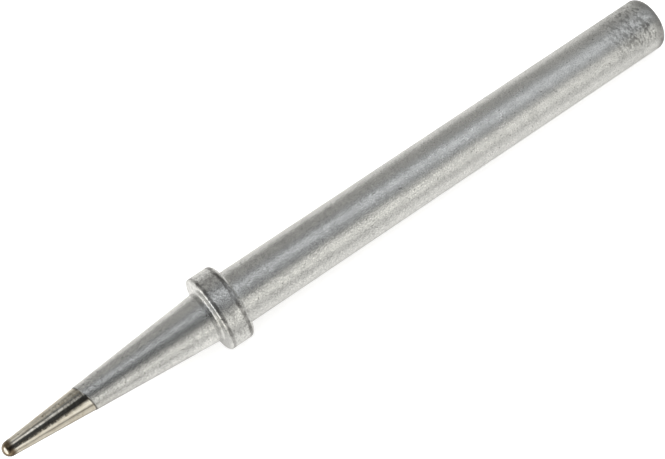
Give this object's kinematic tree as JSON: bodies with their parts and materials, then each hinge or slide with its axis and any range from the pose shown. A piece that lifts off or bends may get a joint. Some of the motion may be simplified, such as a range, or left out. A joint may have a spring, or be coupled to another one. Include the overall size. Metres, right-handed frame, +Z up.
{
  "type": "soldering iron tip",
  "caption": "Plug-in soldering bit turned in one piece: a long plain round shank, a raised collar and a slim tapered flank that ends in a small tinned ball nose.",
  "frame": {"origin": "on the axis, at the seat face of the collar, where the shank leaves it", "axes": "+X along the axis from the collar towards the free end of the shank, so the working nose points to -X; +Z up as the bit lies on a bench"},
  "size_m": [0.069, 0.007, 0.007],
  "materials": {
    "plated_metal": "satin grey plating over copper, with a bright tinned nose"
  },
  "bodies": {
    "root": {"soldering_tip": "plated_metal"}
  },
  "joints": []
}
